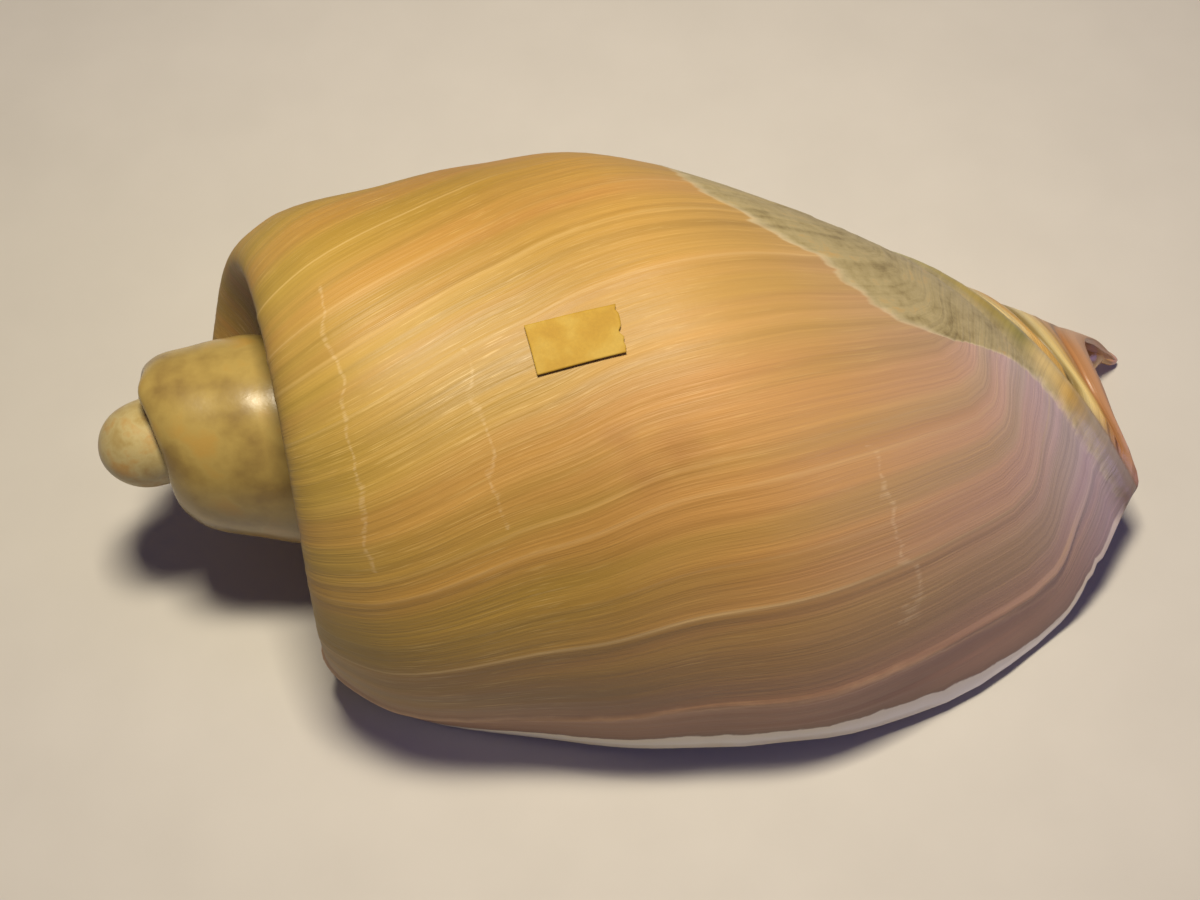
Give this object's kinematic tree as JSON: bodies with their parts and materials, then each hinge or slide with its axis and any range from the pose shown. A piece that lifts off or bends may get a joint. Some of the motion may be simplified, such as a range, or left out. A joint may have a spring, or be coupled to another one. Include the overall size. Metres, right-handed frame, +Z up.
{
  "type": "seashell",
  "caption": "Large volute seashell with a swollen body whorl, wide lower opening, blunt low spire and notched front end, lying on its opening, with a small blank paper label on its back.",
  "frame": {"origin": "middle of the footprint on the surface that the shell lies on", "axes": "+X from the spire to the notched front end, +Y away from the outer lip, +Z up, from the opening to the back"},
  "size_m": [0.106, 0.0584, 0.0411],
  "materials": {
    "shell": "satin",
    "yellow_paper": "matte"
  },
  "bodies": {
    "root": {"shell": "shell", "paper_label": "yellow_paper"}
  },
  "joints": []
}
